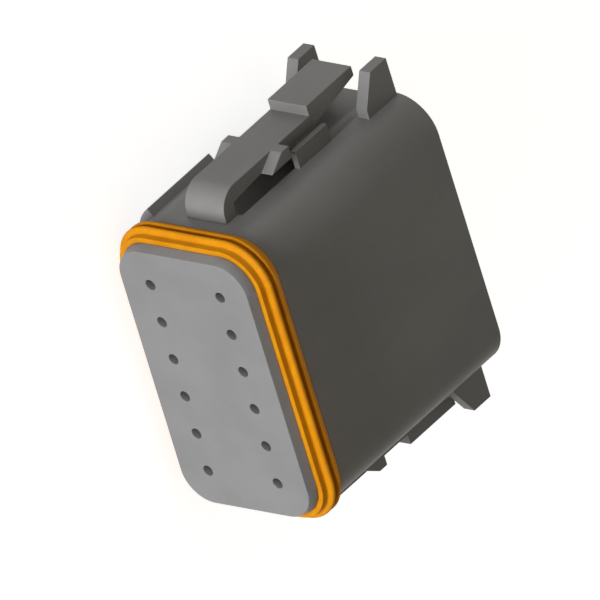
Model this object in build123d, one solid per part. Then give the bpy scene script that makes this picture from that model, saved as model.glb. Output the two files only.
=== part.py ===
from build123d import *
import math
import os

# Sealed rectangular plug with twelve socket contacts. Sizes are in millimetres.
# x runs along the six rows, y from the mating face back to the wires, z across the two columns.
# The origin is the centre of the mating face.

# Contact grid
rows = 6
row_pitch = 4.19
column_pitch = 8.60

# Body and nose
end_margin = 3.68
side_margin = 3.52
seal_step = 0.83
body_corner_r = 4.05
body_length = 25.11

# Wedge lock: front plate and the leg that backs the retention fingers
plate_thickness = 1.39
pin_hole_r = 0.57
leg_half_thickness = 1.40
leg_length = 10.60
leg_tip_chamfer = 0.50

# Interface seal, measured along y from its front face and out from the nose
seal_length = 2.61
seal_fit = 0.02
lip_height = 0.56
lip_length = 0.79
rib_height = 1.50
rib_bevel = 0.12
rib_lean_angle = 15.0
front_rib_width = 0.38
groove_height = 0.78
groove_width = 0.33
rear_rib_width = 0.45
heel_height = 0.83

# Contact cavities and the slot between the columns
cavity_r = 1.28
block_wall = 0.60
slot_half_height = 2.60
slot_end_margin = 2.40
slot_depth = 12.20
slot_corner_r = 0.60

# Retention fingers, one beside each cavity
finger_width = 1.80
finger_clearance = 0.10
finger_thickness = 0.80
finger_tip_y = 9.60
hook_length = 0.45
hook_ramp = 1.10
hook_clearance = 0.06
window_side_clearance = 0.20
window_front_clearance = 0.30
window_length = 3.20

# Rear mouth and wire seal
rear_wall = 1.25
rear_mouth_depth = 7.00
wire_seal_setback = 0.90
wire_seal_fit = 0.03
wire_hole_r = 0.75

# Latch arm: positions along y start at the body's front face, heights at the body's surface
root_setback = 1.40
root_thickness = 1.70
bend_r = 2.40
inner_bend_r = 0.30
arm_width = 4.80
arm_height = 3.015
arm_thickness = 1.33
root_arm_thickness = 1.70
pad_setback = 15.67
pad_length = 7.10
pad_rise = 1.08
pad_tip_thickness = 1.06
root_fit = 0.04
root_side_fit = 0.05

# Catch wings on both sides of the arm
wing_width = 1.33
wing_rear_setback = 10.80
wing_length = 3.17
wing_top_length = 1.15

# Pocket and ribs in the body beside the arm
pocket_side_gap = 0.60
pocket_rear_setback = 14.00
pocket_depth = 1.50
arm_rib_thickness = 0.65
arm_rib_setback = 11.40
arm_rib_length = 5.00
arm_rib_height = 1.87

# Guards beside the thumb pad, set from the rear face
guard_gap = 1.35
guard_thickness = 1.35
guard_rear_setback = 0.29
guard_base_length = 4.37
guard_top_length = 2.52
guard_foot_height = 0.93

# Key rails along two corners
rail_setback = 1.50
rail_length = 9.80
rail_height = 0.95
rail_start_angle = 36.5
rail_end_angle = 65.0

# Socket contacts and their hoods
socket_front_y = 2.60
contact_r = 0.80
socket_bore_r = 0.52
socket_bore_depth = 5.20
bore_sides = 12
barrel_rear_y = 18.60
hood_sides = 14
hood_fit = 0.03
hood_wall = 0.20
hood_overhang = 0.35
hood_gap = 0.10

# Worked out from the sizes above
span_x = (rows - 1) * row_pitch
nose_half_x = span_x / 2 + end_margin
nose_half_z = column_pitch / 2 + side_margin
body_half_x = nose_half_x + seal_step
body_half_z = nose_half_z + seal_step
nose_corner_r = body_corner_r - seal_step
body_front_y = plate_thickness + seal_length
body_rear_y = body_front_y + body_length
mouth_floor_y = body_rear_y - rear_mouth_depth
slot_floor_y = plate_thickness + slot_depth
hinge_x = -body_half_x
hinge_y = body_front_y + root_setback + root_thickness / 2
root_r = root_thickness / 2
arm_half = arm_width / 2
merge = 0.40


def contact_places():
    """List the x and z of each contact, column by column."""
    return [
        (row * row_pitch - span_x / 2, side * column_pitch / 2)
        for side in (1, -1)
        for row in range(rows)
    ]


def along_y(section, y0, y1):
    """Extrude a section drawn in x and z from y0 to y1."""
    return extrude(Plane.XZ.offset(-y0) * section, amount=y0 - y1)


def across_z(section, z0, z1):
    """Extrude a section drawn in x and y from z0 to z1."""
    return extrude(Plane.XY.offset(z0) * section, amount=z1 - z0)


def mirrored(shape, plane):
    """Return the shape joined with its mirror image."""
    return shape + mirror(shape, about=plane)


def block(x0, x1, y0, y1, z0, z1):
    """Box between two corners."""
    return Pos((x0 + x1) / 2, (y0 + y1) / 2, (z0 + z1) / 2) * Box(x1 - x0, y1 - y0, z1 - z0)


def round_bar(r, y0, y1, x, z):
    """Round bar along y."""
    return Pos(x, 0, z) * along_y(Circle(r), y0, y1)


def rounded_block(half_x, half_z, r, y0, y1):
    """Block along y with rounded long edges."""
    return along_y(RectangleRounded(2 * half_x, 2 * half_z, r), y0, y1)


def arm_profile():
    """Side outline of the latch arm in x and y, with the round root on its turning line."""
    surface = hinge_x
    root_front = hinge_y - root_r
    root_rear = hinge_y + root_r
    top = surface - arm_height
    bend_y = root_front + bend_r
    pad_front = body_front_y + pad_setback
    pad_rear = pad_front + pad_length
    pad_top = top - pad_rise
    tip_under = pad_top + pad_tip_thickness
    under = top + arm_thickness
    root_under = top + root_arm_thickness
    taper_end = body_front_y + wing_rear_setback - wing_length
    edges = [
        Line((surface, root_front), (top + bend_r, root_front)),
        CenterArc((top + bend_r, bend_y), bend_r, 270, -90),
        Line((top, bend_y), (top, pad_front)),
        Line((top, pad_front), (pad_top, pad_front)),
        Line((pad_top, pad_front), (pad_top, pad_rear)),
        Line((pad_top, pad_rear), (tip_under, pad_rear)),
        Line((tip_under, pad_rear), (under, pad_front)),
        Line((under, pad_front), (under, taper_end)),
        Line((under, taper_end), (root_under, root_rear + inner_bend_r)),
        CenterArc((root_under + inner_bend_r, root_rear + inner_bend_r), inner_bend_r, 180, 90),
        Line((root_under + inner_bend_r, root_rear), (surface, root_rear)),
        CenterArc((surface, hinge_y), root_r, 90, -180),
    ]
    return make_face(edges)


def wing_profile():
    """Side outline of a catch wing: ramp to the front, square face to the rear."""
    rear = body_front_y + wing_rear_setback
    top = hinge_x - arm_height
    under = top + arm_thickness
    return make_face(Polyline(
        (under, rear - wing_length),
        (top, rear - wing_top_length),
        (top, rear),
        (under, rear),
        close=True,
    ))


def make_latch():
    """Latch arm on the low x side, with its pad and two wings."""
    arm = across_z(arm_profile(), -arm_half, arm_half)
    wing = across_z(wing_profile(), arm_half - merge, arm_half + wing_width)
    return arm + mirrored(wing, Plane.XY)


def guard_profile():
    """Side outline of a guard, with an upright foot and a sloping front."""
    rear = body_rear_y - guard_rear_setback
    front = rear - guard_base_length
    top = hinge_x - arm_height - pad_rise
    foot = hinge_x - guard_foot_height
    sunk = hinge_x + merge
    return make_face(Polyline(
        (sunk, front),
        (foot, front),
        (top, rear - guard_top_length),
        (top, rear),
        (sunk, rear),
        close=True,
    ))


def make_guards():
    """The two guards beside the thumb pad."""
    inner = arm_half + guard_gap
    return mirrored(across_z(guard_profile(), inner, inner + guard_thickness), Plane.XY)


def make_arm_ribs():
    """The two low ribs that stand beside the arm behind its wings."""
    inner = arm_half + pocket_side_gap
    front = body_front_y + arm_rib_setback
    rib = block(
        hinge_x - arm_rib_height,
        hinge_x + merge,
        front,
        front + arm_rib_length,
        inner,
        inner + arm_rib_thickness,
    )
    return mirrored(rib, Plane.XY)


def make_rail():
    """Key rail round the corner at low x and low z, concentric with the corner."""
    outer = body_corner_r + rail_height
    inner = body_corner_r - merge
    centre = (body_corner_r - body_half_x, body_corner_r - body_half_z)
    first = 180 + rail_start_angle
    sweep_angle = rail_end_angle - rail_start_angle
    arcs = [CenterArc(centre, outer, first, sweep_angle), CenterArc(centre, inner, first, sweep_angle)]
    ends = [Line(arcs[0] @ 0, arcs[1] @ 0), Line(arcs[0] @ 1, arcs[1] @ 1)]
    front = body_front_y + rail_setback
    return along_y(make_face(arcs + ends), front, front + rail_length)


def make_pocket():
    """Hollow under the latch arm, and the round seat that its root turns in."""
    half = arm_half + pocket_side_gap
    front = hinge_y + root_r
    rear = body_front_y + pocket_rear_setback
    hollow = block(hinge_x - merge, hinge_x + pocket_depth, front, rear, -half, half)
    seat_half = arm_half + root_side_fit
    seat = across_z(Pos(hinge_x, hinge_y) * Circle(root_r + root_fit), -seat_half, seat_half)
    return hollow + seat


def make_finger(x, side):
    """Retention finger beside one cavity, with its hook behind the contact's collar."""
    inner = leg_half_thickness + finger_clearance
    outer = inner + finger_thickness
    reach = column_pitch / 2 - contact_r - hook_clearance
    outline = Polyline(
        (inner, finger_tip_y),
        (reach, finger_tip_y),
        (reach, finger_tip_y + hook_length),
        (outer, finger_tip_y + hook_length + hook_ramp),
        (outer, slot_floor_y + merge),
        (inner, slot_floor_y + merge),
        close=True,
    )
    plane = Plane(origin=(x - finger_width / 2, 0, 0), x_dir=(0, 0, side), z_dir=(-side, 0, 0))
    face = plane * make_face(outline)
    return extrude(face, amount=-side * finger_width)


def make_window(x, side):
    """Opening between a cavity and the slot, which the hook reaches through."""
    half = finger_width / 2 + window_side_clearance
    low = slot_half_height - merge
    high = column_pitch / 2
    z0, z1 = sorted((side * low, side * high))
    front = finger_tip_y - window_front_clearance
    return block(x - half, x + half, front, front + window_length, z0, z1)


def make_moulding():
    """Whole moulding with its nose, cavities, fingers, guards, ribs and key rails."""
    body = rounded_block(body_half_x, body_half_z, body_corner_r, body_front_y, body_rear_y)
    nose = rounded_block(nose_half_x, nose_half_z, nose_corner_r, plate_thickness, body_front_y)
    outside = make_guards() + make_arm_ribs() + make_rail()
    moulding = body + nose + mirrored(outside, Plane.YZ)
    moulding -= mirrored(make_pocket(), Plane.YZ)
    mouth_r = body_corner_r - rear_wall
    moulding -= rounded_block(
        body_half_x - rear_wall, body_half_z - rear_wall, mouth_r, mouth_floor_y, body_rear_y
    )
    slot_half_x = span_x / 2 + slot_end_margin
    moulding -= rounded_block(slot_half_x, slot_half_height, slot_corner_r, 0, slot_floor_y)
    moulding -= [round_bar(cavity_r, 0, body_rear_y, x, z) for x, z in contact_places()]
    sides = [(x, math.copysign(1, z)) for x, z in contact_places()]
    moulding -= [make_window(x, side) for x, side in sides]
    for x, side in sides:
        moulding += make_finger(x, side)
    return moulding


def block_space():
    """Space of the inner block that holds one column's cavities and fingers."""
    half = span_x / 2 + cavity_r + block_wall
    inner = leg_half_thickness + finger_clearance
    outer = column_pitch / 2 + cavity_r + block_wall
    return block(-half, half, plate_thickness, mouth_floor_y, inner, outer)


def make_wedge_lock():
    """Front plate with twelve pin holes, and the leg between the two columns of fingers."""
    plate = rounded_block(nose_half_x, nose_half_z, nose_corner_r, 0, plate_thickness)
    leg_half_x = span_x / 2 + slot_end_margin - finger_clearance
    leg_end = plate_thickness + leg_length
    leg = block(
        -leg_half_x, leg_half_x, plate_thickness - merge, leg_end, -leg_half_thickness, leg_half_thickness
    )
    tip = leg.faces().sort_by(Axis.Y)[-1]
    leg = chamfer(tip.edges().filter_by(Axis.X), leg_tip_chamfer)
    wedge = plate + leg
    wedge -= [round_bar(pin_hole_r, 0, plate_thickness, x, z) for x, z in contact_places()]
    return wedge


def leaned(height, place):
    """Point of a rib, moved forward by the ribs' lean above the lip."""
    return height, place - (height - lip_height) * math.tan(math.radians(rib_lean_angle))


def rib_points(start, width):
    """Outline of one forward-leaning rib with bevelled crest corners."""
    end = start + width
    return [
        leaned(rib_height - rib_bevel, start),
        leaned(rib_height, start + rib_bevel),
        leaned(rib_height, end - rib_bevel),
        leaned(rib_height - rib_bevel, end),
    ]


def seal_section():
    """Section of the interface seal: height above the nose against y."""
    front = plate_thickness
    lip = front + lip_length
    groove = lip + front_rib_width
    second = groove + groove_width
    heel = front + seal_length
    return make_face(Polyline(
        (seal_fit, front),
        (lip_height, front),
        (lip_height, lip),
        *rib_points(lip, front_rib_width),
        leaned(groove_height, groove),
        leaned(groove_height, second),
        *rib_points(second, rear_rib_width),
        leaned(heel_height, second + rear_rib_width),
        (heel_height, heel),
        (seal_fit, heel),
        close=True,
    ))


def make_interface_seal():
    """Rubber ring round the nose: its section carried round the nose's outline."""
    section = Pos(nose_half_x, 0, 0) * seal_section()
    outline = RectangleRounded(2 * nose_half_x, 2 * nose_half_z, nose_corner_r).wire()
    path = Plane.XZ * outline
    return sweep(section, path=path)


def make_wire_seal():
    """Rubber grommet that fills the rear mouth."""
    fit = rear_wall + wire_seal_fit
    seal = rounded_block(
        body_half_x - fit,
        body_half_z - fit,
        body_corner_r - fit,
        mouth_floor_y,
        body_rear_y - wire_seal_setback,
    )
    return seal - [
        round_bar(wire_hole_r, mouth_floor_y, body_rear_y, x, z) for x, z in contact_places()
    ]


def make_contact(x, z):
    """Socket contact: a round bar with a many-sided bore that takes the pin."""
    bore = RegularPolygon(socket_bore_r, bore_sides, major_radius=False)
    bore_end = socket_front_y + socket_bore_depth
    bar = round_bar(contact_r, socket_front_y, barrel_rear_y, x, z)
    return bar - Pos(x, 0, z) * along_y(bore, socket_front_y, bore_end)


def make_hood(x, z):
    """Thin sheet hood over the front of a contact, whose rear edge the finger hooks behind."""
    inner = contact_r + hood_fit
    outer = inner + hood_wall
    ring = RegularPolygon(outer, hood_sides, major_radius=False)
    ring -= RegularPolygon(inner, hood_sides, major_radius=False)
    rear = finger_tip_y - hood_gap
    return Pos(x, 0, z) * along_y(ring, socket_front_y - hood_overhang, rear)


def save(name, shape):
    """Write one piece under its own name."""
    shape.label = name
    export_step(shape, "parts/" + name + ".step")


def main():
    """Build every piece and write it."""
    os.makedirs("parts", exist_ok=True)
    latch = make_latch()
    moulding = make_moulding()
    spaces = [block_space(), mirror(block_space(), about=Plane.XY)]
    save("housing", moulding - spaces)
    for number, space in enumerate(spaces, 1):
        save(f"contact_block_{number}", moulding & space)
    save("upper_latch", latch)
    save("lower_latch", mirror(latch, about=Plane.YZ))
    save("interface_seal", make_interface_seal())
    save("wedge_lock", make_wedge_lock())
    save("wire_seal", make_wire_seal())
    for number, (x, z) in enumerate(contact_places(), 1):
        save(f"contact_{number}", make_contact(x, z))
        save(f"hood_{number}", make_hood(x, z))


main()
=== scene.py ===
import logging
import math
from contextlib import contextmanager
from dataclasses import dataclass, field
from enum import Enum
from typing import Any, Iterator, Sequence

import bmesh
import bpy
from mathutils import Matrix, Vector


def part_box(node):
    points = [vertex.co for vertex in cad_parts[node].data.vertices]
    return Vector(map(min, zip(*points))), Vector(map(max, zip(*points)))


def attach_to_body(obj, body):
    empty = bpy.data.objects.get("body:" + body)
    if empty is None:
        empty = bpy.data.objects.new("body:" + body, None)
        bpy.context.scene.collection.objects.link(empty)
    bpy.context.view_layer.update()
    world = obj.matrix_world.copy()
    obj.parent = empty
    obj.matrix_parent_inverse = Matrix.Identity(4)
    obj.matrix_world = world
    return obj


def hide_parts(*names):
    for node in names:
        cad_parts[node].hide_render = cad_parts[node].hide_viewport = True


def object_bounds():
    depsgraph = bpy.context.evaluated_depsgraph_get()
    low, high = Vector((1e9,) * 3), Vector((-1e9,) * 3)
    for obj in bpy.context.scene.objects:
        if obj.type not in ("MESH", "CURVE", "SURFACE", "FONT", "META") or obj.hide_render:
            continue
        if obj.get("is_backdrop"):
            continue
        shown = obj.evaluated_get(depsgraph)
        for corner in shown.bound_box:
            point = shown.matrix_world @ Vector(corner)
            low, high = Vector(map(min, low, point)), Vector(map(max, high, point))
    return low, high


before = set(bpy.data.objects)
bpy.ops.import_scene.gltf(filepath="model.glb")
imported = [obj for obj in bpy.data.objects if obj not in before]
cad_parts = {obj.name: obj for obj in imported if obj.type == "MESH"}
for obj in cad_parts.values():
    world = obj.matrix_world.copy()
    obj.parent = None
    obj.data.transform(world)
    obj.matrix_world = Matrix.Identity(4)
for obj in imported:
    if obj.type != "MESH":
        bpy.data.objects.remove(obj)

MM = 0.001
JOIN_MM = 0.002
FLAT_DEG = 0.2
SHARP_DEG = 32
EDGE_STEPS = 2
FACE_WEIGHT = 100
NOSE_CORNER_R = 3.22 * MM
LOG = logging.getLogger("plug")

Colour = tuple[float, float, float]
Direction = tuple[float, float, float]


class Body(Enum):
    """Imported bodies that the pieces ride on."""

    HOUSING = "housing_body"
    WEDGE = "wedge"
    UPPER = "upper_arm"
    LOWER = "lower_arm"


class Slot(Enum):
    """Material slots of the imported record."""

    HOUSING = "housing_plastic"
    WEDGE = "wedge_plastic"
    RUBBER = "orange_rubber"
    NICKEL = "contact_nickel"
    STEEL = "hood_steel"


class Join(Enum):
    """Ways in which one solid acts on another."""

    UNITE = "UNION"
    CUT = "DIFFERENCE"


# Node trees


class Signal:
    """Output socket of a node, with arithmetic that adds Math nodes."""

    def __init__(self, tree: "Tree", socket: bpy.types.NodeSocket) -> None:
        """Wrap a socket."""
        self.tree = tree
        self.socket = socket

    def _math(self, operation: str, *values: Any) -> "Signal":
        """Add one Math node."""
        return self.tree.node("ShaderNodeMath", {"operation": operation}, dict(enumerate(values)))

    def __add__(self, other: Any) -> "Signal":
        """Sum with a signal or number."""
        return self._math("ADD", self, other)

    __radd__ = __add__

    def __mul__(self, other: Any) -> "Signal":
        """Product with a signal or number."""
        return self._math("MULTIPLY", self, other)

    __rmul__ = __mul__

    def __sub__(self, other: Any) -> "Signal":
        """Difference from a signal or number."""
        return self._math("SUBTRACT", self, other)

    def __rsub__(self, other: Any) -> "Signal":
        """Reflected difference, so that 1 - mask works."""
        return self._math("SUBTRACT", other, self)

    def at_most(self, other: Any) -> "Signal":
        """Smaller of this value and another."""
        return self._math("MINIMUM", self, other)

    def band(self, low: float, high: float) -> "Signal":
        """Rise smoothly from 0 at low to 1 at high.

        Args:
            low: Value where the result leaves 0.
            high: Value where the result reaches 1.

        Returns:
            The smooth step.
        """
        return self.tree.node(
            "ShaderNodeMapRange",
            {"interpolation_type": "SMOOTHSTEP"},
            {"Value": self, "From Min": low, "From Max": high},
        )


class Tree:
    """Thin builder round a node tree. The Mix node's colour sockets go by number."""

    MIX_FACTOR, MIX_FIRST, MIX_SECOND, MIX_RESULT = 0, 6, 7, 2

    def __init__(self, tree: bpy.types.NodeTree) -> None:
        """Wrap a tree."""
        self.tree = tree

    def node(
        self,
        kind: str,
        settings: dict[str, Any] | None = None,
        inputs: dict[int | str, Any] | None = None,
        output: int | str = 0,
    ) -> Signal | None:
        """Add a node.

        Args:
            kind: Type of the node.
            settings: Attributes of the node, set before its sockets.
            inputs: Values or signals by socket name or number.
            output: Socket to return, by name or number.

        Returns:
            The wanted output, or none for a node without outputs.
        """
        made = self.tree.nodes.new(kind)
        for name, value in (settings or {}).items():
            setattr(made, name, value)
        for key, value in (inputs or {}).items():
            for item in value if isinstance(value, list) else [value]:
                self.feed(made.inputs[key], item)
        return Signal(self, made.outputs[output]) if made.outputs else None

    def feed(self, socket: bpy.types.NodeSocket, value: Any) -> None:
        """Link a signal into a socket, or set a value on it.

        Args:
            socket: Input socket.
            value: Signal to link or value to set.
        """
        if isinstance(value, Signal):
            self.tree.links.new(value.socket, socket)
        else:
            socket.default_value = value

    def blend(self, factor: Any, low: Colour | Signal, high: Colour | Signal) -> Signal:
        """Mix two colours.

        Args:
            factor: Share of the second colour.
            low: First colour.
            high: Second colour.

        Returns:
            The mixed colour.
        """
        first, second = (c if isinstance(c, Signal) else (*c, 1.0) for c in (low, high))
        inputs = {self.MIX_FACTOR: factor, self.MIX_FIRST: first, self.MIX_SECOND: second}
        return self.node("ShaderNodeMix", {"data_type": "RGBA"}, inputs, self.MIX_RESULT)


class ShaderTree(Tree):
    """Material tree with one Principled shader."""

    BEVEL_SAMPLES = 8
    NOISE_ROUGHNESS = 0.55
    EDGE_BAND = (0.02, 0.30)

    def __init__(self, name: str) -> None:
        """Start a material.

        Args:
            name: Name of the material.
        """
        self.material = bpy.data.materials.new(name)
        self.material.use_nodes = True
        super().__init__(self.material.node_tree)
        self.tree.nodes.clear()

    def place(self) -> Signal:
        """Object coordinates in metres."""
        return self.node("ShaderNodeTexCoord", output="Object")

    def noise(self, size_mm: float, stretch: Direction = (1, 1, 1), detail: float = 2.0) -> Signal:
        """Noise with features of a given size.

        Args:
            size_mm: Size of a feature in millimetres.
            stretch: How much longer a feature is along each axis.
            detail: Octaves of finer noise.

        Returns:
            Noise from 0 to 1.
        """
        mapping = {"Vector": self.place(), "Scale": tuple(1 / factor for factor in stretch)}
        inputs = {
            "Vector": self.node("ShaderNodeMapping", {"vector_type": "POINT"}, mapping),
            "Scale": 1 / (size_mm * MM),
            "Detail": detail,
            "Roughness": self.NOISE_ROUGHNESS,
        }
        return self.node("ShaderNodeTexNoise", {}, inputs)

    def soft_normal(self, radius_mm: float) -> Signal:
        """Normal rounded near sharp edges."""
        return self.node("ShaderNodeBevel", {"samples": self.BEVEL_SAMPLES}, {"Radius": radius_mm * MM})

    def edge_mask(self, soft: Signal) -> Signal:
        """Mask that is 1 on sharp edges and 0 on open faces.

        Args:
            soft: Rounded normal.

        Returns:
            The mask.
        """
        flat = self.node("ShaderNodeNewGeometry", output="True Normal")
        same = self.node("ShaderNodeVectorMath", {"operation": "DOT_PRODUCT"}, {0: soft, 1: flat}, "Value")
        return (1 - same).band(*self.EDGE_BAND)

    def bump(self, height: Signal, depth_mm: float, normal: Signal | None = None) -> Signal:
        """Relief from a height.

        Args:
            height: Height from 0 to 1.
            depth_mm: Depth of the relief in millimetres.
            normal: Normal that the relief starts from, or none for the surface's own.

        Returns:
            The new normal.
        """
        inputs = {"Strength": 1.0, "Distance": depth_mm * MM, "Height": height}
        if normal:
            inputs["Normal"] = normal
        return self.node("ShaderNodeBump", {}, inputs)

    def surface(self, sockets: dict[str, Any]) -> bpy.types.Material:
        """Close the material with its shader.

        Args:
            sockets: Values or signals of the Principled shader.

        Returns:
            The finished material.
        """
        shader = self.node("ShaderNodeBsdfPrincipled", {}, sockets)
        self.node("ShaderNodeOutputMaterial", {}, {"Surface": shader})
        return self.material


class GeometryTree(Tree):
    """Geometry tree with named inputs that ends in realized, painted geometry."""

    def __init__(self, name: str) -> None:
        """Start a tree with a geometry input and output.

        Args:
            name: Name of the tree.
        """
        super().__init__(bpy.data.node_groups.new(name, "GeometryNodeTree"))
        self.tree.interface.new_socket("Geometry", in_out="INPUT", socket_type="NodeSocketGeometry")
        self.tree.interface.new_socket("Geometry", in_out="OUTPUT", socket_type="NodeSocketGeometry")
        self.group = self.tree.nodes.new("NodeGroupInput")
        self.values: dict[str, Any] = {}

    def size(self, name: str, value: float) -> Signal:
        """Add a named length in metres."""
        return self._input(name, "NodeSocketFloat", value)

    def count(self, name: str, value: int) -> Signal:
        """Add a named whole number."""
        return self._input(name, "NodeSocketInt", value)

    def shape(self, name: str, value: bpy.types.Object) -> Signal:
        """Add a named source object and read its geometry."""
        source = self._input(name, "NodeSocketObject", value)
        return self.node("GeometryNodeObjectInfo", {}, {"Object": source}, "Geometry")

    def _input(self, name: str, kind: str, value: Any) -> Signal:
        """Add one socket to the interface and note its value.

        Args:
            name: Name of the input.
            kind: Type of its socket.
            value: Value that it gets when the tree is run.

        Returns:
            The input's signal.
        """
        item = self.tree.interface.new_socket(name, in_out="INPUT", socket_type=kind)
        self.values[item.identifier] = value
        return Signal(self, self.group.outputs[name])

    def given(self) -> Signal:
        """Geometry of the object that carries the tree."""
        return Signal(self, self.group.outputs["Geometry"])

    def joined(self, *parts: Signal) -> Signal:
        """Join several geometries."""
        return self.node("GeometryNodeJoinGeometry", {}, {"Geometry": list(reversed(parts))})

    def made(
        self, geometry: Signal, material: bpy.types.Material, carrier: bpy.types.Mesh, name: str
    ) -> bpy.types.Object:
        """Close the tree, run it on a carrier and keep the result as a plain mesh.

        Args:
            geometry: Geometry to give out.
            material: Material of the result.
            carrier: Mesh that the tree starts from.
            name: Name of the finished object.

        Returns:
            The finished object, with no modifier left.
        """
        real = self.node("GeometryNodeRealizeInstances", {}, {"Geometry": geometry})
        painted = self.node("GeometryNodeSetMaterial", {}, {"Geometry": real, "Material": material})
        out = self.tree.nodes.new("NodeGroupOutput")
        self.feed(out.inputs["Geometry"], painted)
        obj = new_object(name, carrier)
        modifier = obj.modifiers.new(self.tree.name, "NODES")
        modifier.node_group = self.tree
        for identifier, value in self.values.items():
            modifier[identifier] = value
        return settled(obj, material)


# Mesh helpers


def new_object(name: str, data: bpy.types.ID) -> bpy.types.Object:
    """Add an object to the scene.

    Args:
        name: Name of the object.
        data: Its mesh, curve, camera or lamp.

    Returns:
        The object, at the origin.
    """
    obj = bpy.data.objects.new(name, data)
    bpy.context.scene.collection.objects.link(obj)
    return obj


def evaluated(obj: bpy.types.Object) -> bpy.types.Mesh:
    """Read an object's shape as its modifiers leave it.

    Args:
        obj: Object with modifiers.

    Returns:
        A plain mesh with no material.
    """
    bpy.context.view_layer.update()
    graph = bpy.context.evaluated_depsgraph_get()
    mesh = bpy.data.meshes.new_from_object(obj.evaluated_get(graph), depsgraph=graph)
    mesh.materials.clear()
    return mesh


def settled(obj: bpy.types.Object, material: bpy.types.Material) -> bpy.types.Object:
    """Turn an object's modifiers into a plain mesh.

    Args:
        obj: Object with modifiers.
        material: Its only material.

    Returns:
        The same object without modifiers.
    """
    mesh = evaluated(obj)
    obj.modifiers.clear()
    obj.data = mesh
    mesh.materials.append(material)
    return obj


def remove(*objects: bpy.types.Object) -> None:
    """Delete source objects that aren't pieces."""
    for obj in objects:
        bpy.data.objects.remove(obj)


@contextmanager
def editing(mesh: bpy.types.Mesh) -> Iterator[bmesh.types.BMesh]:
    """Open a mesh for editing and write it back.

    Args:
        mesh: Mesh to edit.

    Yields:
        The editable mesh.
    """
    work = bmesh.new()
    work.from_mesh(mesh)
    yield work
    work.to_mesh(mesh)
    work.free()


def packed_shape(node: str) -> bpy.types.Object:
    """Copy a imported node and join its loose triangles.

    Args:
        node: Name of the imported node.

    Returns:
        Object with the joined mesh.
    """
    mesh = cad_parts[node].data.copy()
    with editing(mesh) as work:
        bmesh.ops.remove_doubles(work, verts=work.verts, dist=JOIN_MM * MM)
    if mesh.attributes.get("custom_normal"):
        mesh.attributes.remove(mesh.attributes["custom_normal"])
    return new_object(node + "_copy", mesh)


def combined(
    name: str, base: bpy.types.Object, join: Join, others: Sequence[bpy.types.Object]
) -> bpy.types.Mesh:
    """Unite a solid with others, or cut them out of it, and merge its flat parts.

    Args:
        name: Name of the mesh.
        base: Solid that is changed. It and the others are used up.
        join: What the others do to it.
        others: Solids that change it.

    Returns:
        The mesh, with flat parts as single faces.
    """
    for other in others:
        modifier = base.modifiers.new(other.name, "BOOLEAN")
        modifier.operation = join.value
        modifier.solver = "EXACT"
        modifier.object = other
    mesh = evaluated(base)
    mesh.name = name
    remove(base, *others)
    with editing(mesh) as work:
        bmesh.ops.remove_doubles(work, verts=work.verts, dist=JOIN_MM * MM)
        flat = math.radians(FLAT_DEG)
        bmesh.ops.dissolve_limit(work, angle_limit=flat, verts=work.verts, edges=work.edges)
    return mesh


def united(name: str, *nodes: str) -> bpy.types.Mesh:
    """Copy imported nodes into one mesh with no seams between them.

    Args:
        name: Name of the mesh.
        nodes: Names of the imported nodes, the first of them the one that the others join.

    Returns:
        The mesh.
    """
    first, *others = [packed_shape(node) for node in nodes]
    return combined(name, first, Join.UNITE, others)


def softened(mesh: bpy.types.Mesh, material: bpy.types.Material, edge_mm: float) -> bpy.types.Object:
    """Make a piece with smooth curves and fine rounded edges.

    Args:
        mesh: Mesh with joined faces and sharp edges.
        material: Its finish.
        edge_mm: Width of the rounded edges.

    Returns:
        The finished piece.
    """
    for polygon in mesh.polygons:
        polygon.use_smooth = True
    obj = new_object(mesh.name, mesh)
    bevel = obj.modifiers.new("edges", "BEVEL")
    bevel.width = edge_mm * MM
    bevel.segments = EDGE_STEPS
    bevel.limit_method = "ANGLE"
    bevel.angle_limit = math.radians(SHARP_DEG)
    bevel.miter_outer = "MITER_ARC"
    weighted = obj.modifiers.new("normals", "WEIGHTED_NORMAL")
    weighted.weight = FACE_WEIGHT
    weighted.keep_sharp = True
    return settled(obj, material)


def lathe(name: str, outline: Sequence[tuple[float, float]], steps: int) -> bpy.types.Mesh:
    """Turn an outline about the y axis.

    Args:
        name: Name of the mesh.
        outline: Radius and place along y of each point, in metres, as a closed loop.
        steps: Number of flats round the axis.

    Returns:
        The closed ring with outward faces.
    """
    mesh = bpy.data.meshes.new(name)
    turns = [2 * math.pi * step / steps for step in range(steps)]
    with editing(mesh) as work:
        rings = [[work.verts.new((r * math.cos(t), y, r * math.sin(t))) for r, y in outline] for t in turns]
        for here, there in zip(rings, rings[1:] + rings[:1]):
            for i in range(len(outline)):
                j = (i + 1) % len(outline)
                work.faces.new((here[i], here[j], there[j], there[i]))
        bmesh.ops.recalc_face_normals(work, faces=work.faces)
    for polygon in mesh.polygons:
        polygon.use_smooth = True
    mesh.set_sharp_from_angle(angle=math.radians(SHARP_DEG))
    return mesh


# Finishes


def toned(colour: Colour, *factors: float) -> Colour:
    """Multiply a colour's channels.

    Args:
        colour: Red, green and blue.
        factors: One factor for all three channels, or one for each.

    Returns:
        The new colour, with no channel over 1.
    """
    return tuple(min(1.0, channel * factor) for channel, factor in zip(colour, factors * 3))


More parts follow.
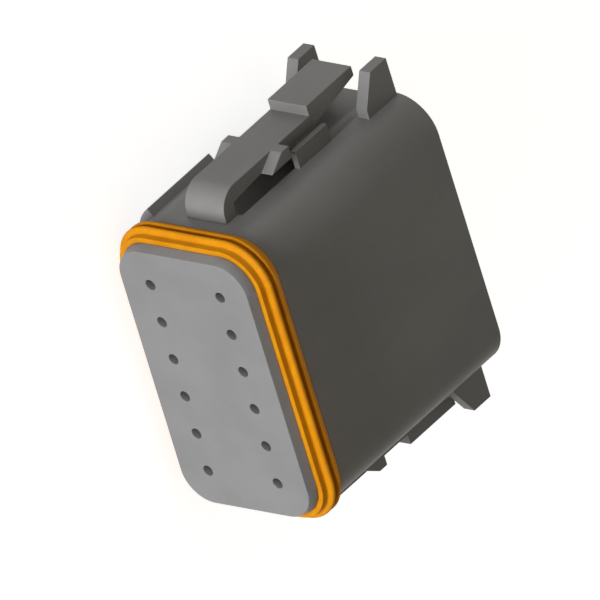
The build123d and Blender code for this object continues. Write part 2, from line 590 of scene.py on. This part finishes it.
@dataclass(frozen=True)
class MouldedPlastic:
    """Glass-filled plastic with a fine spark-eroded grain."""

    name: str
    colour: Colour = (0.190, 0.187, 0.182)
    roughness: float = 0.52
    ior: float = 1.47
    grain_mm: float = 0.11
    grain_depth_mm: float = 0.010
    grain_detail: float = 3.0
    grain_gloss: float = 0.16
    flow_mm: float = 7.0
    flow_stretch: Direction = (1, 2.4, 1)
    flow_band: tuple[float, float] = (0.3, 0.7)
    flow_dark: float = 0.94
    flow_light: float = 1.06
    fleck_mm: float = 0.45
    fleck_detail: float = 1.0
    fleck_band: tuple[float, float] = (0.60, 0.74)
    fleck_share: float = 0.22
    rubbed: float = 1.28
    rubbed_share: float = 0.55
    rubbed_gloss: float = 0.08
    edge_radius_mm: float = 0.10

    def material(self) -> bpy.types.Material:
        """Build the material.

        Returns:
            Plastic with grain, faint flow marks and rubbed edges.
        """
        tree = ShaderTree(self.name)
        soft = tree.soft_normal(self.edge_radius_mm)
        edges = tree.edge_mask(soft)
        flow = tree.noise(self.flow_mm, self.flow_stretch)
        grain = tree.noise(self.grain_mm, detail=self.grain_detail)
        fleck = tree.noise(self.fleck_mm, detail=self.fleck_detail).band(*self.fleck_band)
        dark = toned(self.colour, self.flow_dark)
        light = toned(self.colour, self.flow_light)
        rubbed = toned(self.colour, self.rubbed)
        body = tree.blend(flow.band(*self.flow_band), dark, light)
        flecked = tree.blend(fleck * self.fleck_share, body, rubbed)
        gloss = (grain - 0.5) * self.grain_gloss - edges * self.rubbed_gloss
        return tree.surface(
            {
                "Base Color": tree.blend(edges * self.rubbed_share, flecked, rubbed),
                "Roughness": self.roughness + gloss,
                "Normal": tree.bump(grain, self.grain_depth_mm, soft),
                "IOR": self.ior,
            }
        )


@dataclass(frozen=True)
class SealRubber:
    """Silicone rubber with a soft satin face."""

    name: str
    colour: Colour = (0.62, 0.243, 0.002)
    roughness: float = 0.55
    ior: float = 1.41
    specular: float = 0.15
    mottle_mm: float = 1.6
    mottle_band: tuple[float, float] = (0.3, 0.7)
    mottle_deep: Colour = (0.95, 0.90, 1.0)
    mottle_pale: Colour = (1.04, 1.07, 1.5)
    skin_mm: float = 0.14
    skin_depth_mm: float = 0.004
    skin_gloss: float = 0.18

    def material(self) -> bpy.types.Material:
        """Build the material.

        Returns:
            Rubber with faint mottling and a fine skin.
        """
        tree = ShaderTree(self.name)
        mottle = tree.noise(self.mottle_mm).band(*self.mottle_band)
        skin = tree.noise(self.skin_mm)
        deep = toned(self.colour, *self.mottle_deep)
        pale = toned(self.colour, *self.mottle_pale)
        return tree.surface(
            {
                "Base Color": tree.blend(mottle, deep, pale),
                "Roughness": self.roughness + (skin - 0.5) * self.skin_gloss,
                "Normal": tree.bump(skin, self.skin_depth_mm),
                "IOR": self.ior,
                "Specular IOR Level": self.specular,
            }
        )


@dataclass(frozen=True)
class DrawnMetal:
    """Metal with fine lines along the contact's axis."""

    name: str
    colour: Colour
    roughness: float
    edge_radius_mm: float = 0.03
    line_mm: float = 0.05
    line_stretch: Direction = (1, 30, 1)
    line_depth_mm: float = 0.002
    line_gloss: float = 0.20
    tarnish_mm: float = 0.9
    tarnish_band: tuple[float, float] = (0.45, 0.8)
    tarnish_dark: float = 0.78
    tarnish_share: float = 0.6
    tarnish_gloss: float = 0.10

    def material(self) -> bpy.types.Material:
        """Build the material.

        Returns:
            Metal with drawn lines and faint tarnish.
        """
        tree = ShaderTree(self.name)
        soft = tree.soft_normal(self.edge_radius_mm)
        lines = tree.noise(self.line_mm, self.line_stretch)
        tarnish = tree.noise(self.tarnish_mm).band(*self.tarnish_band)
        dull = toned(self.colour, self.tarnish_dark)
        gloss = (lines - 0.5) * self.line_gloss + tarnish * self.tarnish_gloss
        return tree.surface(
            {
                "Base Color": tree.blend(tarnish * self.tarnish_share, self.colour, dull),
                "Metallic": 1.0,
                "Roughness": self.roughness + gloss,
                "Normal": tree.bump(lines, self.line_depth_mm, soft),
            }
        )


HOUSING_PLASTIC = MouldedPlastic("housing_plastic_grain")
WEDGE_PLASTIC = MouldedPlastic(
    "wedge_plastic_grain",
    colour=(0.206, 0.204, 0.203),
    roughness=0.48,
    grain_mm=0.09,
    grain_depth_mm=0.008,
)
ORANGE_SILICONE = SealRubber("orange_silicone")
NICKEL_PLATE = DrawnMetal("nickel_plate", (0.66, 0.62, 0.55), 0.26)
HOOD_SHEET = DrawnMetal("hood_sheet", (0.55, 0.55, 0.56), 0.34)


@dataclass(frozen=True)
class Finishes:
    """The five finishes of the plug, built once."""

    housing: bpy.types.Material = field(default_factory=HOUSING_PLASTIC.material)
    wedge: bpy.types.Material = field(default_factory=WEDGE_PLASTIC.material)
    rubber: bpy.types.Material = field(default_factory=ORANGE_SILICONE.material)
    nickel: bpy.types.Material = field(default_factory=NICKEL_PLATE.material)
    steel: bpy.types.Material = field(default_factory=HOOD_SHEET.material)


# Sub-assemblies


def attach(piece: bpy.types.Object, body: Body, slot: Slot, *nodes: str) -> bpy.types.Object:
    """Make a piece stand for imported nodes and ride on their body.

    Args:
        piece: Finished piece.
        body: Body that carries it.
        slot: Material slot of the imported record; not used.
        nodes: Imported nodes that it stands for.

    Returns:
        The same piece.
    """
    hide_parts(*nodes)
    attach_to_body(piece, body.value)
    return piece


@dataclass
class LatchRelief:
    """Shallow fall of the body's narrow sides between the guards, deepest at the rear edge."""

    side_place: float = 14.985 * MM
    half_width: float = 3.75 * MM
    length: float = 4.66 * MM
    depth: float = 0.60 * MM
    clear: float = 1.00 * MM

    def cutter(self, side: int) -> bpy.types.Object:
        """Make the wedge that one side of the body loses.

        Args:
            side: 1 for the side at high x, -1 for the side at low x.

        Returns:
            Closed wedge that reaches past the rear edge and out of the side.
        """
        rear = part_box("housing")[1].y
        past = rear + self.clear
        low = self.side_place - self.depth * (self.length + self.clear) / self.length
        outline = [(self.side_place, rear - self.length), (low, past), (self.side_place + self.clear, past)]
        mesh = bpy.data.meshes.new("latch_relief")
        with editing(mesh) as work:
            near, far = (
                [work.verts.new((side * x, y, z)) for x, y in outline]
                for z in (-self.half_width, self.half_width)
            )
            work.faces.new(near)
            work.faces.new(reversed(far))
            for i in range(len(outline)):
                j = (i + 1) % len(outline)
                work.faces.new((near[j], near[i], far[i], far[j]))
            bmesh.ops.recalc_face_normals(work, faces=work.faces)
        return new_object("latch_relief", mesh)

    def build(self, name: str, mesh: bpy.types.Mesh) -> bpy.types.Mesh:
        """Cut both sides of the body and give the new mesh its name."""
        body = new_object(name + "_body", mesh)
        return combined(name, body, Join.CUT, [self.cutter(side) for side in (-1, 1)])


@dataclass
class MouldedPart:
    """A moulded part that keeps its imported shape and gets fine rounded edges."""

    name: str
    nodes: tuple[str, ...]
    body: Body
    relief: LatchRelief | None = None
    edge_mm: float = 0.07

    def build(self, material: bpy.types.Material) -> bpy.types.Object:
        """Build the part.

        Args:
            material: Its finish.

        Returns:
            The finished piece.
        """
        if self.relief:
            mesh = self.relief.build(self.name, united(self.name + "_uncut", *self.nodes))
        else:
            mesh = united(self.name, *self.nodes)
        return attach(softened(mesh, material, self.edge_mm), self.body, Slot.HOUSING, *self.nodes)


@dataclass
class WedgeLock:
    """Wedge lock whose plate widens from its front face to a rim in front of the seal."""

    rim_place: float = 1.12 * MM
    rim_width: float = 0.30 * MM
    outline_reach: float = 0.03 * MM
    plane_reach: float = 0.01 * MM
    edge_mm: float = 0.07

    def _outward(self, place: Vector, half: Vector) -> Vector | None:
        """Direction out of the plate at a point of its outline.

        Args:
            place: Point of the mesh.
            half: Half of the plate's size.

        Returns:
            Unit vector in the plane of the plate, or none inside it.
        """
        beyond_x = abs(place.x) - half.x + NOSE_CORNER_R
        beyond_z = abs(place.z) - half.z + NOSE_CORNER_R
        out = Vector((max(beyond_x, 0), 0, max(beyond_z, 0)))
        if out.length < NOSE_CORNER_R - self.outline_reach:
            return None
        return Vector((math.copysign(out.x, place.x), 0, math.copysign(out.z, place.z))).normalized()

    def build(self, material: bpy.types.Material) -> bpy.types.Object:
        """Build the wedge lock.

        Args:
            material: Its finish.

        Returns:
            The finished piece.
        """
        mesh = united("wedge_lock_moulding", "wedge_lock")
        half = (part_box("wedge_lock")[1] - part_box("wedge_lock")[0]) / 2
        with editing(mesh) as work:
            every = work.verts[:] + work.edges[:] + work.faces[:]
            rim = (0, self.rim_place, 0)
            bmesh.ops.bisect_plane(work, geom=every, plane_co=rim, plane_no=(0, 1, 0))
            for vert in work.verts:
                out = self._outward(vert.co, half)
                if out and abs(vert.co.y - self.rim_place) < self.plane_reach:
                    vert.co += out * self.rim_width
        return attach(softened(mesh, material, self.edge_mm), Body.WEDGE, Slot.WEDGE, "wedge_lock")


@dataclass
class InterfaceSeal:
    """Ribbed rubber ring round the nose, swept along the nose's outline.

    Heights are measured out from the nose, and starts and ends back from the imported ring's front.
    """

    sunk: float = 0.02 * MM
    rim_height: float = 0.32 * MM
    lip_height: float = 0.82 * MM
    lip_start: float = -0.27 * MM
    lip_end: float = 0.52 * MM
    rib_height: float = 1.45 * MM
    front_rib_end: float = 0.93 * MM
    groove_height: float = 0.92 * MM
    groove_end: float = 1.41 * MM
    rear_rib_end: float = 1.77 * MM
    heel_height: float = 0.83 * MM
    front_crest_r: float = 0.27 * MM
    rear_crest_r: float = 0.13 * MM
    front_root_r: float = 0.22 * MM
    root_r: float = 0.08 * MM
    corner_steps: int = 18
    crest_steps: int = 5

    def section(self, length: float) -> bpy.types.Object:
        """Draw the ring's section as a closed curve whose point radii hold its roundings.

        Args:
            length: Length of the ring along y.

        Returns:
            Curve object with height on x and place along the ring on y.
        """
        corners = [
            (self.sunk, 0, 0),
            (self.rim_height, self.lip_start, 0),
            (self.lip_height, self.lip_start, self.root_r),
            (self.lip_height, self.lip_end, self.front_root_r),
            (self.rib_height, self.lip_end, self.front_crest_r),
            (self.rib_height, self.front_rib_end, self.rear_crest_r),
            (self.groove_height, self.front_rib_end, self.root_r),
            (self.groove_height, self.groove_end, self.root_r),
            (self.rib_height, self.groove_end, self.rear_crest_r),
            (self.rib_height, self.rear_rib_end, self.rear_crest_r),
            (self.heel_height, self.rear_rib_end, self.root_r),
            (self.heel_height, length, self.root_r),
            (self.sunk, length, 0),
        ]
        curve = bpy.data.curves.new("seal_section", "CURVE")
        curve.dimensions = "3D"
        spline = curve.splines.new("POLY")
        spline.points.add(len(corners) - 1)
        for point, (height, place, radius) in zip(spline.points, corners):
            point.co = (height, place, 0, 1)
            point.radius = radius / MM
        spline.use_cyclic_u = True
        return new_object("seal_section", curve)

    def build(self, material: bpy.types.Material) -> bpy.types.Object:
        """Sweep the section round the nose.

        Args:
            material: Rubber.

        Returns:
            The finished ring.
        """
        nose_low, nose_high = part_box("wedge_lock")
        low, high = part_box("interface_seal")
        source = self.section(high.y - low.y)
        tree = GeometryTree("ribbed_ring")
        nose = {
            "Width": tree.size("Nose width", nose_high.x - nose_low.x),
            "Height": tree.size("Nose height", nose_high.z - nose_low.z),
        }
        corner = tree.size("Corner radius", NOSE_CORNER_R)
        steps = tree.count("Corner steps", self.corner_steps)
        crest = tree.count("Crest steps", self.crest_steps)
        section = tree.shape("Section", source)
        outline = tree.node("GeometryNodeCurvePrimitiveQuadrilateral", {"mode": "RECTANGLE"}, nose)
        corners = {"Curve": outline, "Radius": corner, "Count": steps}
        path = tree.node("GeometryNodeFilletCurve", {"mode": "POLY"}, corners)
        upright = tree.node("GeometryNodeSetCurveNormal", {"mode": "Z_UP"}, {"Curve": path})
        radius = tree.node("GeometryNodeInputRadius") * MM
        rounded = tree.node(
            "GeometryNodeFilletCurve",
            {"mode": "POLY"},
            {"Curve": section, "Radius": radius, "Count": crest, "Limit Radius": True},
        )
        plain = tree.node("GeometryNodeSetCurveRadius", {}, {"Curve": rounded, "Radius": 1.0})
        even = tree.node("GeometryNodeSetCurveRadius", {}, {"Curve": upright, "Radius": 1.0})
        ring = tree.node("GeometryNodeCurveToMesh", {}, {"Curve": even, "Profile Curve": plain})
        turned = tree.node(
            "GeometryNodeTransform",
            {},
            {"Geometry": ring, "Rotation": (math.pi / 2, 0, 0), "Translation": (0, low.y, 0)},
        )
        smooth = tree.node("GeometryNodeSetShadeSmooth", {}, {"Geometry": turned, "Shade Smooth": True})
        piece = tree.made(smooth, material, bpy.data.meshes.new("ring_start"), "interface_seal_ring")
        remove(source)
        return attach(piece, Body.HOUSING, Slot.RUBBER, "interface_seal")


@dataclass
class ContactGrid:
    """Places of the twelve contacts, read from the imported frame."""

    rows: int = 6
    columns: int = 2

    def spans(self) -> tuple[float, float]:
        """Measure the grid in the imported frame.

        Returns:
            Distance between the outer contacts along x, and between the columns along z.
        """
        centres = [sum(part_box(f"contact_{n}"), Vector()) / 2 for n in range(1, self.rows * self.columns + 1)]
        xs, zs = [c.x for c in centres], [c.z for c in centres]
        return max(xs) - min(xs), max(zs) - min(zs)

    def places(self, tree: GeometryTree) -> Signal:
        """Grid of points in the plane of the mating face.

        Args:
            tree: Tree to build in.

        Returns:
            Mesh whose corners are the contact places.
        """
        span_x, span_z = self.spans()
        sizes = {
            "Size X": tree.size("Row span", span_x),
            "Size Y": tree.size("Column span", span_z),
            "Vertices X": tree.count("Rows", self.rows),
            "Vertices Y": tree.count("Columns", self.columns),
        }
        grid = tree.node("GeometryNodeMeshGrid", {}, sizes, "Mesh")
        return tree.node("GeometryNodeTransform", {}, {"Geometry": grid, "Rotation": (math.pi / 2, 0, 0)})

    def repeat(self, name: str, mesh: bpy.types.Mesh, material: bpy.types.Material) -> bpy.types.Object:
        """Set one mesh at every contact place.

        Args:
            name: Name of the finished piece.
            mesh: Mesh of one copy, placed along y and centred on the axis.
            material: Its finish.

        Returns:
            All copies as one plain mesh.
        """
        source = new_object(name + "_source", mesh)
        tree = GeometryTree(name + "_grid")
        inputs = {"Instance": tree.shape("Copy", source), "Points": self.places(tree)}
        spread = tree.node("GeometryNodeInstanceOnPoints", {}, inputs)
        piece = tree.made(spread, material, bpy.data.meshes.new(name + "_start"), name)
        remove(source)
        return piece

    def nodes(self, kind: str) -> list[str]:
        """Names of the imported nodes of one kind, in order."""
        return [f"{kind}_{n}" for n in range(1, self.rows * self.columns + 1)]


@dataclass
class SocketContacts:
    """Turned socket contacts with a bell mouth, turned grooves and a crimp barrel."""

    grid: ContactGrid
    axis_r: float = 0.02 * MM
    bore_r: float = 0.53 * MM
    bore_depth: float = 5.20 * MM
    bore_tip: float = 0.25 * MM
    mouth_r: float = 0.66 * MM
    mouth_depth: float = 0.20 * MM
    groove_places: tuple[float, float] = (7.6 * MM, 9.0 * MM)
    groove_depth: float = 0.07 * MM
    groove_width: float = 0.30 * MM
    edge: float = 0.06 * MM
    barrel_length: float = 5.3 * MM
    barrel_bore_r: float = 0.55 * MM
    barrel_depth: float = 4.60 * MM
    barrel_tip: float = 0.20 * MM
    steps: int = 28

    def outline(self) -> list[tuple[float, float]]:
        """Radius and place of each point of the turned section.

        Returns:
            Closed outline from the bore's floor round the outside and back.
        """
        low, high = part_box("contact_1")
        r, front, rear = (high.x - low.x) / 2, low.y, high.y
        grooves = [front + place for place in self.groove_places] + [rear - self.barrel_length]
        points = [
            (self.axis_r, front + self.bore_depth),
            (self.bore_r, front + self.bore_depth - self.bore_tip),
            (self.bore_r, front + self.mouth_depth),
            (self.mouth_r, front),
            (r - self.edge, front),
            (r, front + self.edge),
        ]
        for place in grooves:
            floor, end = r - self.groove_depth, place + self.groove_width
            points += [(r, place), (floor, place + self.edge), (floor, end), (r, end + self.edge)]
        return points + [
            (r, rear - self.edge),
            (r - self.edge, rear),
            (self.barrel_bore_r + self.edge, rear),
            (self.barrel_bore_r, rear - self.edge),
            (self.barrel_bore_r, rear - self.barrel_depth),
            (self.axis_r, rear - self.barrel_depth - self.barrel_tip),
        ]

    def build(self, material: bpy.types.Material) -> bpy.types.Object:
        """Build the contacts.

        Args:
            material: Nickel plate.

        Returns:
            The twelve contacts as one piece.
        """
        mesh = lathe("contact", self.outline(), self.steps)
        piece = self.grid.repeat("socket_contacts", mesh, material)
        return attach(piece, Body.HOUSING, Slot.NICKEL, *self.grid.nodes("contact"))


@dataclass
class ContactHoods:
    """Thin sheet hoods over the fronts of the contacts, with a rolled front edge."""

    grid: ContactGrid
    round_share: float = 0.985
    wall: float = 0.17 * MM
    roll: float = 0.10 * MM
    bead_places: tuple[float, float] = (1.4 * MM, 4.6 * MM)
    bead_depth: float = 0.05 * MM
    steps: int = 28

    def outline(self) -> list[tuple[float, float]]:
        """Radius and place of each point of the hood's wall.

        Returns:
            Closed outline of the wall.
        """
        low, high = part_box("hood_1")
        front, rear = low.y, high.y
        outer = (high.z - low.z) / 2 * self.round_share
        inner = outer - self.wall
        points = [(outer - self.roll, front), (outer, front + self.roll)]
        for place in self.bead_places:
            start = front + place
            points += [(outer, start), (outer - self.bead_depth, start + self.roll)]
            points += [(outer, start + 2 * self.roll)]
        return points + [(outer, rear), (inner, rear), (inner, front + self.roll)]

    def build(self, material: bpy.types.Material) -> bpy.types.Object:
        """Build the hoods."""
        piece = self.grid.repeat("contact_hoods", lathe("hood", self.outline(), self.steps), material)
        return attach(piece, Body.HOUSING, Slot.STEEL, *self.grid.nodes("hood"))


@dataclass
class WireSeal:
    """Rubber grommet in the rear mouth, with a raised collar round each wire hole."""

    grid: ContactGrid
    hole_r: float = 0.75 * MM
    collar_width: float = 0.55 * MM
    collar_height: float = 0.38 * MM
    collar_sunk: float = 0.15 * MM
    funnel_start: float = 0.05 * MM
    funnel_width: float = 0.24 * MM
    funnel_edge: tuple[float, float] = (0.16 * MM, 0.04 * MM)
    crown_edge: tuple[float, float] = (0.16 * MM, 0.05 * MM)
    crown_drop: float = 0.10 * MM
    foot_width: float = 0.10 * MM
    foot_height: float = 0.06 * MM
    foot_sunk: float = 0.01 * MM
    edge_mm: float = 0.12
    steps: int = 40

    def collar(self, rear: float) -> bpy.types.Mesh:
        """One raised collar with a funnel that leads the wire in.

        Args:
            rear: Place of the grommet's rear face.

        Returns:
            Ring round the y axis.
        """
        sunk, top = rear - self.collar_sunk, rear + self.collar_height
        inner, outer = self.hole_r, self.hole_r + self.collar_width
        foot = outer + self.foot_width
        outline = [
            (inner, sunk),
            (inner, rear + self.funnel_start),
            (inner + self.funnel_edge[0], top - self.funnel_edge[1]),
            (inner + self.funnel_width, top),
            (outer - self.crown_edge[0], top),
            (outer - self.crown_edge[1], top - self.crown_drop),
            (outer, rear + self.foot_height),
            (foot, rear - self.foot_sunk),
            (foot, sunk),
        ]
        return lathe("wire_collar", outline, self.steps)

    def build(self, material: bpy.types.Material) -> bpy.types.Object:
        """Build the grommet with its collars.

        Args:
            material: Rubber.

        Returns:
            The finished grommet.
        """
        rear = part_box("wire_seal")[1].y
        base = softened(united("wire_seal_base", "wire_seal"), material, self.edge_mm)
        source = new_object("wire_collar_source", self.collar(rear))
        tree = GeometryTree("collared_grommet")
        inputs = {"Points": self.grid.places(tree), "Instance": tree.shape("Collar", source)}
        collars = tree.node("GeometryNodeInstanceOnPoints", {}, inputs)
        whole = tree.joined(tree.given(), collars)
        piece = tree.made(whole, material, base.data, "wire_seal_grommet")
        remove(source, base)
        return attach(piece, Body.HOUSING, Slot.RUBBER, "wire_seal")


# Studio


@dataclass
class PhotoCamera:
    """Parallel camera at the photograph's angle."""

    right: Direction = (0.2582, 0.5967, 0.7597)
    back: Direction = (-0.4905, -0.5966, 0.6353)
    shift_right: float = 8.074 * MM
    shift_up: float = 7.919 * MM
    width: float = 56.35 * MM
    distance: float = 0.30
    nearest: float = 0.01
    farthest: float = 5.0

    def build(self) -> bpy.types.Object:
        """Make the camera and give it to the scene.

        Returns:
            The camera.
        """
        data = bpy.data.cameras.new("photo_camera")
        data.type = "ORTHO"
        data.ortho_scale = self.width
        data.clip_start = self.nearest
        data.clip_end = self.farthest
        camera = new_object("photo_camera", data)
        back = Vector(self.back).normalized()
        right = Vector(self.right)
        right = (right - back * right.dot(back)).normalized()
        up = back.cross(right)
        turn = Matrix((right, up, back)).transposed().to_4x4()
        place = right * self.shift_right + up * self.shift_up + back * self.distance
        camera.matrix_world = Matrix.Translation(place) @ turn
        bpy.context.scene.camera = camera
        return camera


@dataclass
class SoftLamp:
    """Wide, low soft lamp aimed at the plug. Its level doesn't change with its distance."""

    name: str
    towards: Direction
    level: float
    width: float = 0.34
    height: float = 0.10
    distance: float = 0.55
    colour: Colour = (1, 1, 1)

    def build(self, aim: Vector) -> bpy.types.Object:
        """Place the lamp.

        Args:
            aim: Point that it faces.

        Returns:
            The lamp.
        """
        data = bpy.data.lights.new(self.name, "AREA")
        data.shape = "RECTANGLE"
        data.size = self.width
        data.size_y = self.height
        data.color = self.colour
        data.energy = self.level * math.pi**2 * self.distance**2
        lamp = new_object(self.name, data)
        towards = Vector(self.towards).normalized()
        lamp.rotation_euler = towards.to_track_quat("Z", "Y").to_euler()
        lamp.location = aim + towards * self.distance
        return lamp


KEY_LAMP = SoftLamp(
    "key_lamp", (-0.18, -0.98, 0.045), level=1.12, height=0.045, colour=(0.94, 0.955, 1.0)
)
SIDE_LAMP = SoftLamp(
    "side_lamp",
    (-1.0, -0.1, 0.10),
    level=0.105,
    width=1.0,
    height=0.20,
    distance=1.0,
    colour=(0.95, 0.97, 1.0),
)
REAR_LAMP = SoftLamp("rear_lamp", (0.16, 0.98, 0.09), level=0.42)


@dataclass
class Studio:
    """Pale floor, white surround and soft lamps."""

    floor_size: float = 3.0
    floor_gap: float = 0.02 * MM
    floor_colour: Colour = (0.80, 0.80, 0.80)
    floor_roughness: float = 0.9
    floor_specular: float = 0.1
    floor_lift: float = 0.76
    ambient: Colour = (0.262, 0.247, 0.216)
    lamps: tuple[SoftLamp, ...] = (KEY_LAMP, SIDE_LAMP, REAR_LAMP)

    def _seen(self, tree: Tree) -> Signal:
        """Mark what is looked at, straight or by way of other surfaces.

        Args:
            tree: Tree to build in.

        Returns:
            1 for camera, glossy and transmission rays, and 0 for all others.
        """
        kinds = ("Camera", "Glossy", "Transmission")
        rays = [tree.node("ShaderNodeLightPath", output=f"Is {kind} Ray") for kind in kinds]
        return (rays[0] + rays[1] + rays[2]).at_most(1.0)

    def floor(self) -> bpy.types.Object:
        """Build the floor, which keeps the plug's shadow.

        Returns:
            The floor.
        """
        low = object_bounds()[0]
        half = self.floor_size / 2
        mesh = bpy.data.meshes.new("floor")
        z = low.z - self.floor_gap
        corners = [(-half, -half, z), (half, -half, z), (half, half, z), (-half, half, z)]
        mesh.from_pydata(corners, [], [(0, 1, 2, 3)])
        tree = ShaderTree("pale_floor")
        lift = tree.blend(self._seen(tree), (0, 0, 0), (self.floor_lift,) * 3)
        material = tree.surface(
            {
                "Base Color": (*self.floor_colour, 1.0),
                "Roughness": self.floor_roughness,
                "Specular IOR Level": self.floor_specular,
                "Emission Color": lift,
                "Emission Strength": 1.0,
            }
        )
        mesh.materials.append(material)
        floor = new_object("floor", mesh)
        floor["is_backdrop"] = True
        return floor

    def surround(self) -> bpy.types.World:
        """Build the world: white to the camera, a soft ambient light to the plug.

        Returns:
            The world.
        """
        world = bpy.data.worlds.new("surround")
        world.use_nodes = True
        world.node_tree.nodes.clear()
        tree = Tree(world.node_tree)
        seen = tree.node("ShaderNodeLightPath", output="Is Camera Ray")
        colour = tree.blend(seen, self.ambient, (1, 1, 1))
        shader = tree.node("ShaderNodeBackground", {}, {"Color": colour, "Strength": 1.0})
        tree.node("ShaderNodeOutputWorld", {}, {"Surface": shader})
        bpy.context.scene.world = world
        return world

    def build(self) -> None:
        """Build the floor, surround and lamps."""
        low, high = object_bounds()
        aim = (low + high) / 2
        self.floor()
        self.surround()
        for lamp in self.lamps:
            lamp.build(aim)
        bpy.context.scene.view_settings.view_transform = "Standard"


# Assembly


def report(piece: bpy.types.Object) -> None:
    """Log a piece's name, number of faces and size in millimetres."""
    size = [round(length / MM, 2) for length in piece.dimensions]
    LOG.info("%s: %d faces, %s mm", piece.name, len(piece.data.polygons), size)


def main() -> None:
    """Build the plug's pieces in order, then the studio."""
    logging.basicConfig(level=logging.INFO, format="%(name)s: %(message)s")
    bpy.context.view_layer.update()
    PhotoCamera().build()
    finishes = Finishes()
    grid = ContactGrid()
    mouldings = [
        MouldedPart(
            "housing_moulding",
            ("housing", "contact_block_1", "contact_block_2"),
            Body.HOUSING,
            relief=LatchRelief(),
        ),
        MouldedPart("upper_latch_moulding", ("upper_latch",), Body.UPPER),
        MouldedPart("lower_latch_moulding", ("lower_latch",), Body.LOWER),
    ]
    for part in mouldings:
        report(part.build(finishes.housing))
    report(WedgeLock().build(finishes.wedge))
    report(InterfaceSeal().build(finishes.rubber))
    report(WireSeal(grid).build(finishes.rubber))
    report(SocketContacts(grid).build(finishes.nickel))
    report(ContactHoods(grid).build(finishes.steel))
    Studio().build()


if __name__ == "__main__":
    main()
